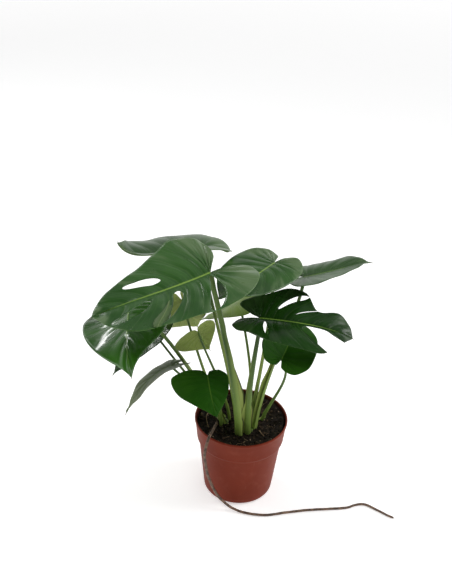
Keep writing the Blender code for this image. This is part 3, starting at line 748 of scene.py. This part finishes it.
# --- Stalks ------------------------------------------------------------------
def stalk_section(radius, hollow, points=24):
    """A round section that opens to a U with thin wings as hollow nears 1."""
    ring = []
    for i in range(points):
        angle = 2 * pi * i / points
        a, b = -cos(angle), sin(angle)  # starts at the back, channel at i = half
        turn = abs(i / points - 0.5) * 2  # 0 in the channel, 1 at the back
        if turn < 0.30:
            deep = turn / 0.30
            ua, ub = -0.30 + 1.25 * deep ** 1.5, np.sign(b) * 0.10 + 0.78 * b * deep
        elif turn < 0.5:
            ease = (turn - 0.30) / 0.2
            ua, ub = 1.05 - 0.95 * ease, (0.80 + 0.16 * ease) * np.sign(b)
        else:
            ua, ub = a, b
        ring.append((radius * (a + (ua - a) * hollow), radius * (b + (ub - b) * hollow)))
    return ring


def stalk_path(leaf):
    foot, low, high = STALKS[leaf.name][:3]
    start = Vector((foot[0] * MM, foot[1] * MM, SOIL_LEVEL - 0.006))
    low, high, end = Vector(low) * MM, Vector(high) * MM, Vector(leaf.attach) * MM
    end -= leaf_matrix(leaf).to_3x3() @ Vector((0, 0, 0.0012))
    path = []
    for k in range(STALK_RINGS + 1):
        t = k / STALK_RINGS
        path.append((1 - t) ** 3 * start + 3 * (1 - t) ** 2 * t * low
                    + 3 * (1 - t) * t ** 2 * high + t ** 3 * end)
    return path


def build_stalk(leaf, material):
    foot_radius, top_radius, sheath = STALKS[leaf.name][3:]
    path = stalk_path(leaf)
    lean = path[-1] - path[0]
    inward = Vector((-lean.x, -lean.y, 0.02)).normalized()

    def section(t):
        radius = (foot_radius + (top_radius - foot_radius) * min(1.0, t * 1.25) ** 0.75) * MM
        radius *= 1 + 0.10 * np.exp(-((t - 0.94) / 0.03) ** 2)
        hollow = min(1.0, max(0.0, (sheath - t) / 0.18)) * min(1.0, 0.35 + t * 6)
        return stalk_section(radius * (1 - 0.35 * max(0.0, t - 0.97) / 0.03), hollow)

    verts, faces, uvs = sweep(path, section, inward)
    new_piece(f"stalk_{leaf.name}", verts, faces, uvs, [material], "petiole", [f"petiole_{leaf.name}"])


# Sheath wings: leaf, which way the wing reaches, how far up the stalk its tip
# is, where it is widest (shares of the stalk), its reach and curl in mm.
WINGS = (
    ("a", (1.0, 0.15, 0.0), 0.47, 0.22, 15.5, 3.0),
    ("a", (1.0, -0.22, 0.0), 0.17, 0.07, 11.0, -1.0),
    ("e", (-1.0, -0.10, 0.0), 0.31, 0.16, 12.0, 2.5),
    ("e", (1.0, 0.10, 0.0), 0.31, 0.18, 9.0, -2.5),
    ("d", (-1.0, -0.30, 0.0), 0.45, 0.26, 9.5, 2.0),
    ("i", (1.0, -0.30, 0.0), 0.30, 0.16, 9.0, 2.0),
    ("b", (1.0, -0.20, 0.0), 0.28, 0.15, 7.0, 1.5),
)


def build_wing(number, leaf, toward, tip, widest, reach, curl, material):
    """A thin sheath wing along a stalk's lower part, ending in a point."""
    whole = stalk_path(leaf)
    last = round(tip * STALK_RINGS) + 1
    path = [whole[k].lerp(whole[k + 1], f) for k in range(last) for f in (0.0, 0.5)]
    columns = 7

    def section(t):
        share = t * tip
        fade = min(1.0, max(0.0, (tip - share) / (tip - widest)))
        width = reach * MM * fade ** 1.1 * (0.72 + 0.28 * min(1.0, share / widest))
        ring = []
        for way in (1, -1):
            for i in range(columns)[::way]:
                f = i / (columns - 1)
                thick = (0.0007 * (1 - f) + 0.0002) * min(1.0, 0.15 + fade * 3)
                ring.append((max(0.0008, width) * f, curl * MM * fade * f * f + way * thick))
        return ring

    verts, faces, uvs = sweep(path, section, Vector(toward))
    new_piece(f"sheath_{leaf.name}_{number}", verts, faces, uvs, [material], "petiole", None)


def build_drip_tip(leaf, base, ahead, down, material):
    """The drawn-out point of a blade, curled down a little."""
    length, curl = DRIP_TIPS.get(leaf.name, USUAL_DRIP_TIP)
    steps, sides = 12, 10
    path, spot = [], base - ahead * 0.0012
    for k in range(steps + 1):
        path.append(spot.copy())
        angle = radians(curl) * (k / steps) ** 1.3
        spot += (ahead * cos(angle) + down * sin(angle)) * (length * MM / steps)

    def section(t):
        radius = 0.0007 * (1 - 0.62 * t)
        turns = [2 * pi * i / sides for i in range(sides)]
        return [(radius * 0.7 * cos(turn), radius * sin(turn)) for turn in turns]

    verts, faces, uvs = sweep(path, section, down)
    new_piece(f"drip_tip_{leaf.name}", verts, faces, uvs, [material], "leaf", None)


# --- Pot, soil, stems and roots ----------------------------------------------
def lathe(profile, segments):
    """A profile of (radius, height) turned about the upright axis, open at both ends."""
    verts, faces, uvs = [], [], []
    for radius, height in profile:
        for i in range(segments):
            a = 2 * pi * i / segments
            verts.append((radius * cos(a), radius * sin(a), height))
    for k in range(len(profile) - 1):
        low, high = k * segments, (k + 1) * segments
        for i in range(segments):
            j = (i + 1) % segments
            faces.append((low + i, low + j, high + j, high + i))
            near, far = i / segments, (i + 1) / segments
            uvs.append(((near, k), (far, k), (far, k + 1), (near, k + 1)))
    return verts, faces, uvs


def soil_height(x, y):
    """Lumpy, and banked up against the wall, most at 25 degrees from the x axis."""
    place = Vector((x, y, 0.0))
    lumps = noise.fractal(place * 95, 0.8, 2.1, 5) * SOIL_LUMPS
    grain = noise.noise(place * 420) * SOIL_GRAIN
    bank = min(1.0, max(0.0, (place.length - 0.052) / 0.027)) ** 1.6
    side = 0.5 + 0.5 * cos(atan2(y, x) - radians(25))
    return SOIL_LEVEL - 0.0004 + lumps + grain + SOIL_BANK * bank * side ** 0.7


def build_soil(material):
    """The plug of compost, lumpy on top, following the pot's inside below."""
    rings, segments = 64, 150
    top_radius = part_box("soil")[1][0] - 0.0002
    profile = [(top_radius * (k / rings) ** 0.8, None) for k in range(1, rings + 1)]
    profile += [(top_radius - 0.0015, SOIL_LEVEL - 0.006), (0.0735, 0.114), (0.0608, 0.008), (0.02, 0.003)]
    verts, faces = [], []
    for radius, height in profile:
        for i in range(segments):
            a = 2 * pi * i / segments
            x, y = radius * cos(a), radius * sin(a)
            verts.append((x, y, soil_height(x, y) if height is None else height))
    for k in range(len(profile) - 1):
        low, high = k * segments, (k + 1) * segments
        for i in range(segments):
            j = (i + 1) % segments
            faces.append((low + i, high + i, high + j, low + j))
    faces.append(tuple(range(segments)))
    last = (len(profile) - 1) * segments
    faces.append(tuple(last + i for i in range(segments))[::-1])
    tint = [0.5 + 0.45 * noise.noise(Vector(v) * 260) for v in verts]
    uvs = [[(0.0, 0.0)] * len(f) for f in faces]
    new_piece("compost", verts, faces, uvs, [material], "soil", ["soil"], tint=tint)


def build_crumbs(material):
    """Loose crumbs and a few pale chips lying on the compost."""
    rng = np.random.default_rng(7)
    verts, faces, tint = [], [], []
    limit = 0.0765
    for n in range(CRUMBS):
        radius, angle = limit * np.sqrt(rng.random()), 2 * pi * rng.random()
        x, y = radius * cos(angle), radius * sin(angle)
        size = 0.0006 + 0.0019 * rng.random() ** 2.2
        turn = Matrix.Rotation(2 * pi * rng.random(), 3, Vector(rng.normal(size=3)).normalized())
        shape = Vector(1 + 0.7 * rng.random(3))
        shade = rng.random()
        first = len(verts)
        ball = bmesh.new()
        bmesh.ops.create_icosphere(ball, subdivisions=1, radius=size)
        for v in ball.verts:
            rough = 1 + 0.35 * noise.noise(v.co * 900 + Vector((n, 0, 0)))
            spot = turn @ Vector((v.co.x * shape.x, v.co.y * shape.y, v.co.z * 0.75)) * rough
            verts.append((x + spot.x, y + spot.y, soil_height(x, y) + 0.35 * size + spot.z))
            tint.append(shade)
        faces.extend([first + v.index for v in f.verts] for f in ball.faces)
        ball.free()
    uvs = [[(0.0, 0.0)] * len(f) for f in faces]
    new_piece("compost_crumbs", verts, faces, uvs, [material], "soil", None, tint=tint)


def build_fibres(material):
    """Short dry root fibres in the compost's top."""
    rng = np.random.default_rng(11)
    steps, sides = 6, 6
    verts, faces, uvs = [], [], []
    for n in range(FIBRES):
        radius, angle = 0.072 * np.sqrt(rng.random()), 2 * pi * rng.random()
        x, y = radius * cos(angle), radius * sin(angle)
        heading, length = 2 * pi * rng.random(), 0.006 + 0.014 * rng.random()
        bow = rng.normal() * 0.6
        path = []
        for k in range(steps + 1):
            t = k / steps - 0.5
            px = x + length * t * cos(heading + bow * t)
            py = y + length * t * sin(heading + bow * t)
            path.append(Vector((px, py, soil_height(px, py) + 0.0010 - 0.004 * t * t * (n % 3))))
        thick = 0.00022 + 0.00022 * rng.random()
        ring = [(thick * cos(2 * pi * i / sides), thick * sin(2 * pi * i / sides)) for i in range(sides)]
        v, f, w = sweep(path, lambda t: ring, Vector((0, 0, 1)))
        faces.extend(tuple(i + len(verts) for i in face) for face in f)
        verts.extend(v)
        uvs.extend(w)
    new_piece("compost_fibres", verts, faces, uvs, [material], "dead_root", None)


def build_pot(material):
    rim, height, collar, neck, base = 0.085, 0.156, 0.0800, 0.0765, 0.0635
    collar_z, segments = height - 0.042, 160
    outside = [
        (0.0005, 0.0), (base - 0.0045, 0.0), (base - 0.0022, 0.0004), (base - 0.0008, 0.0016),
        (base + 0.0003, 0.0035), (base + 0.0016, 0.013), (neck - 0.0008, collar_z - 0.006),
        (neck - 0.0003, collar_z - 0.0045), (neck + 0.0006, collar_z - 0.0032),
        (collar - 0.0012, collar_z - 0.0004), (collar - 0.0003, collar_z + 0.0004),
        (collar, collar_z + 0.0016), (rim - 0.0013, height - 0.0060), (rim - 0.0006, height - 0.0048),
        (rim, height - 0.0040), (rim + 0.0001, height - 0.0022), (rim - 0.0003, height - 0.0007),
        (rim - 0.0011, height), (rim - 0.0022, height - 0.0003), (rim - 0.0030, height - 0.0014),
    ]
    inside = [(rim - 0.0033, height - 0.004), (neck - 0.0022, collar_z + 0.001), (base - 0.0010, 0.006),
              (base - 0.0040, 0.0025), (0.0005, 0.0025)]
    verts, faces, uvs = lathe(outside + inside, segments)
    closing = len(verts) - segments
    faces += [tuple(range(segments))[::-1], tuple(closing + i for i in range(segments))]
    uvs += [[(0.0, 0.0)] * segments] * 2
    pot = new_piece("nursery_pot", verts, faces, uvs, [material], "pot", ["pot"])
    pot.data.set_sharp_from_angle(angle=radians(50))


def build_stems(material):
    """Short stems just proud of the compost among the stalks' feet."""
    shapes = {"stem_1": (9, -21, 15, 12), "stem_2": (-31, 0, 9, 10), "stem_3": (37, 9, 5, 5)}
    sides = 28
    for name, (x, y, half_x, half_y) in shapes.items():
        centre = Vector((x * MM, y * MM, 0))
        levels = [(0.02, 0.1475), (0.6, 0.1465), (0.95, 0.1440), (1.05, 0.1400), (1.0, 0.1350),
                  (1.08, 0.1300), (0.95, 0.1220), (0.6, 0.1160), (0.02, 0.1140)]
        path = [centre + Vector((0, 0, z)) for _, z in levels]
        shares = [share for share, _ in levels]

        def section(t):
            share = shares[round(t * (len(shares) - 1))]
            turns = [2 * pi * i / sides for i in range(sides)]
            return [(share * half_x * MM * cos(turn), share * half_y * MM * sin(turn)) for turn in turns]

        verts, faces, uvs = sweep(path, section, Vector((1, 0, 0)))
        new_piece(f"{name}_crown", verts, faces, uvs, [material], "stem", [name])


def knobbly_tube(name, points, steps, radius_at, material, slot, stands_for):
    """A root clear of the floor: its thickness and course waver a little."""
    path = smooth_path([Vector(p) * MM for p in points], steps)
    count, sides = len(path) - 1, 12
    for k, p in enumerate(path):
        waver = Vector((noise.noise(p * 60), noise.noise(p * 60 + Vector((9, 0, 0))), 0))
        p = p + 0.0003 * waver
        path[k] = Vector((p.x, p.y, max(p.z, radius_at(k / count) + FLOOR_GAP)))

    def section(t):
        centre = path[round(t * count)]
        ring = []
        for i in range(sides):
            a = 2 * pi * i / sides
            swell = 1 + 0.10 * noise.noise(centre * 130 + Vector((cos(a), sin(a), 0)) * 0.7)
            ring.append((radius_at(t) * swell * cos(a), radius_at(t) * swell * sin(a)))
        return ring

    verts, faces, uvs = sweep(path, section, Vector((0.1, 0.2, 1)))
    new_piece(name, verts, faces, uvs, [material], slot, stands_for)


def build_roots(brown, straw):
    def aerial_radius(t):
        return 0.0028 * (1 - 0.25 * t) * (1 if t < 0.985 else max(0.25, (1 - t) / 0.015))

    knobbly_tube("trailing_root", AERIAL_ROOT, 10, aerial_radius, brown, "root", ["aerial_root"])
    dead = ((-62, 17, 146.2), (-64, 4, 147.2), (-62, -10, 147.0), (-58, -25, 146.2))
    knobbly_tube("dry_root", dead, 8, lambda t: 0.0008 * (1 - 0.4 * t), straw, "dead_root", ["dead_root"])
    twig = ((33, -27, 147.4), (37, -34, 147.0), (42, -42, 146.6))
    knobbly_tube("dry_twig", twig, 8, lambda t: 0.0007, straw, "dead_root", ["twig"])


def build_cataphyll(material):
    """The pointed bract beside the right-hand stem's stalk."""
    course = ((42, 16, 141), (42, 16, 151), (45, 15, 162), (50, 12, 172))
    path = smooth_path([Vector(p) * MM for p in course], 8)

    def section(t):
        radius = 0.0036 * (1 - t) ** 0.7 + 0.0002
        return stalk_section(radius, 0.8)

    verts, faces, uvs = sweep(path, section, Vector((0.4, 0.5, 0.2)))
    new_piece("bract", verts, faces, uvs, [material], "petiole", ["cataphyll"])


# --- Stage -------------------------------------------------------------------
CAMERA_PLACE = (-0.038, -1.453, 1.300)
CAMERA_PITCH = 31.17  # degrees down
CAMERA_ROLL = 2.54  # degrees
CAMERA_LENS, CAMERA_SENSOR = 61.643836, 36.0  # mm, the sensor along the frame's long side
FLOOR_HALF_SIZE = 30
RING_LEVEL = 0.50  # brightness of the high soft band


def build_camera():
    """Looking along +Y and down, and rolled a little."""
    pitch, roll = radians(CAMERA_PITCH), radians(CAMERA_ROLL)
    ahead = Vector((0, cos(pitch), -sin(pitch)))
    right = Vector((1, 0, 0))
    up = right.cross(ahead)
    turned_right = cos(roll) * right + sin(roll) * up
    turned_up = cos(roll) * up - sin(roll) * right
    data = bpy.data.cameras.new("camera")
    data.sensor_fit = "AUTO"
    data.sensor_width = CAMERA_SENSOR
    data.lens = CAMERA_LENS
    data.clip_end = 100
    camera = bpy.data.objects.new("camera", data)
    basis = Matrix((turned_right, turned_up, -ahead)).transposed().to_4x4()
    camera.matrix_world = Matrix.Translation(CAMERA_PLACE) @ basis
    bpy.context.scene.collection.objects.link(camera)
    bpy.context.scene.camera = camera


def area_light(name, place, target, size, power):
    data = bpy.data.lights.new(name, "AREA")
    data.shape = "RECTANGLE"
    data.size, data.size_y = size
    data.energy = power
    light = bpy.data.objects.new(name, data)
    aim = Vector(target) - Vector(place)
    light.matrix_world = Matrix.Translation(place) @ aim.to_track_quat("-Z", "Y").to_matrix().to_4x4()
    light.visible_camera = False
    bpy.context.scene.collection.objects.link(light)


def build_world():
    """Pale at the horizon, brighter behind, and a soft band high up on the left."""
    world = bpy.data.worlds.new("studio")
    world.use_nodes = True
    tree = world.node_tree
    coordinates = tree.nodes.new("ShaderNodeTexCoord")
    split = tree.nodes.new("ShaderNodeSeparateXYZ")
    tree.links.new(coordinates.outputs["Generated"], split.inputs[0])
    right, back, up = split.outputs

    def step(value, low, high, start, end):
        made = tree.nodes.new("ShaderNodeMapRange")
        made.interpolation_type = "SMOOTHSTEP"
        tree.links.new(value, made.inputs[0])
        for socket, number in zip(made.inputs[1:5], (low, high, start, end)):
            socket.default_value = number
        return made.outputs[0]

    def join(operation, a, b):
        made = tree.nodes.new("ShaderNodeMath")
        made.operation = operation
        tree.links.new(a, made.inputs[0])
        tree.links.new(b, made.inputs[1])
        return made.outputs[0]

    low_band = step(up, 0.36, 0.56, 0.95, 0.24)
    front_shade = step(back, -0.3, 0.5, 0.25, 1.0)
    ring = join("MULTIPLY", step(up, 0.70, 0.82, 0.0, RING_LEVEL), step(up, 0.94, 0.985, 1.0, 0.0))
    ring = join("MULTIPLY", ring, step(right, 0.05, 0.50, 1.0, 0.0))
    low_band = join("MULTIPLY", low_band, step(right, -0.35, 0.25, 0.36, 1.30))
    total = join("ADD", join("MULTIPLY", low_band, front_shade), ring)
    horizon = join("MULTIPLY", step(up, 0.0, 0.32, 0.95, 0.45), step(up, 0.25, 0.50, 1.0, 0.0))
    total = join("MAXIMUM", total, horizon)
    background = tree.nodes["Background"]
    background.inputs["Color"].default_value = (1, 1, 1, 1)
    tree.links.new(total, background.inputs["Strength"])
    bpy.context.scene.world = world


def build_stage():
    mesh = bpy.data.meshes.new("floor")
    size = FLOOR_HALF_SIZE
    corners = [(-size, -size, 0), (size, -size, 0), (size, size, 0), (-size, size, 0)]
    mesh.from_pydata(corners, [], [(0, 1, 2, 3)])
    mesh.materials.append(floor_material())
    floor = bpy.data.objects.new("floor", mesh)
    bpy.context.scene.collection.objects.link(floor)
    floor.location.z = -0.0002
    build_world()
    area_light("left_key", (-1.25, -0.55, 2.1), (0, 0, 0.35), (0.4, 0.4), 12)
    area_light("right_key", (1.3, 0.1, 2.0), (0, 0, 0.3), (0.9, 0.9), 18)
    area_light("right_low", (1.8, 0.2, 0.6), (0, 0, 0.2), (0.6, 1.0), 8)
    area_light("streak_box", (-1.30, 1.45, 1.45), (-0.22, -0.1, 0.4), (0.10, 1.1), 8)
    area_light("left_low", (-1.8, 0.1, 0.6), (0, 0, 0.2), (0.6, 1.0), 4)
    bpy.context.scene.view_settings.view_transform = "Standard"


def main():
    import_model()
    build_camera()
    build_stage()
    blades = {}
    for tone in TONES:
        upper = leaf_material(f"blade_{tone}", tone, False)
        blades[tone] = [upper, leaf_material(f"underside_{tone}", tone, True)]
    stalk = stalk_material()
    brown = root_material("aerial_bark", (0.060, 0.031, 0.018), (0.230, 0.135, 0.080), 0.50)
    straw = root_material("dry_root_bark", (0.150, 0.090, 0.045), (0.400, 0.280, 0.160), 0.8)
    tip_bark = root_material("drip_tip", (0.060, 0.075, 0.020), (0.140, 0.110, 0.045), 0.55)
    sheath = sheath_material()
    compost = soil_material()
    for leaf in LEAVES:
        build_blade(leaf, blades, tip_bark)
        build_stalk(leaf, stalk)
    by_name = {leaf.name: leaf for leaf in LEAVES}
    for number, (name, *shape) in enumerate(WINGS, 1):
        build_wing(number, by_name[name], *shape, sheath)
    build_pot(pot_material())
    build_soil(compost)
    build_crumbs(compost)
    build_fibres(straw)
    build_stems(stalk)
    build_roots(brown, straw)
    build_cataphyll(stalk)
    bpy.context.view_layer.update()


main()
